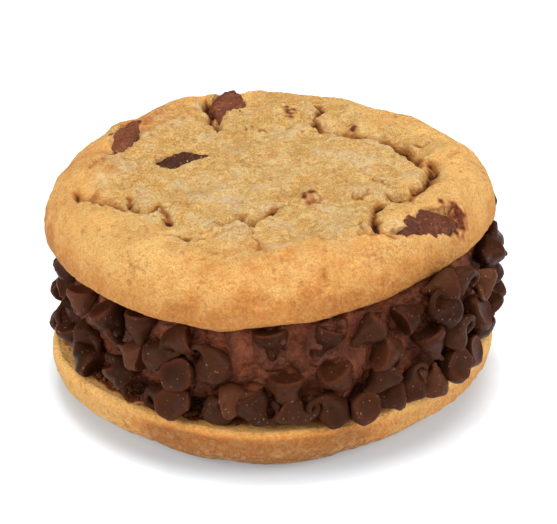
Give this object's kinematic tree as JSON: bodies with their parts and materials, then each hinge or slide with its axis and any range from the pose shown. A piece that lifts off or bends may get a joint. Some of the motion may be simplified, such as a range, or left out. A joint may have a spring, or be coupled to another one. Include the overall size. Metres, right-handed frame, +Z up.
{
  "type": "ice cream sandwich",
  "caption": "Round ice cream sandwich: crackled chocolate chip cookies above and below a thick disc of chocolate ice cream rolled in mini chocolate chips.",
  "frame": {"origin": "middle of the level patch that the lower cookie rests on", "axes": "+Z up, the pictured front faces -Y, +X to its right"},
  "size_m": [0.0959, 0.0953, 0.0477],
  "materials": {
    "baked_cookie": "golden baked cookie crust, dry and finely grained, browner at the rim",
    "chocolate_ice_cream": "frozen chocolate ice cream, moist and lightly glossy",
    "chocolate": "dark chocolate with a soft sheen and a light dusting"
  },
  "bodies": {
    "root": {"bottom_cookie": "baked_cookie", "top_cookie": "baked_cookie", "ice_cream": "chocolate_ice_cream", "chunk_right": "chocolate", "chunk_left": "chocolate", "chunk_back": "chocolate", "chunk_back_left": "chocolate", "chunk_under_front": "chocolate", "chunk_under_left": "chocolate"}
  },
  "joints": []
}
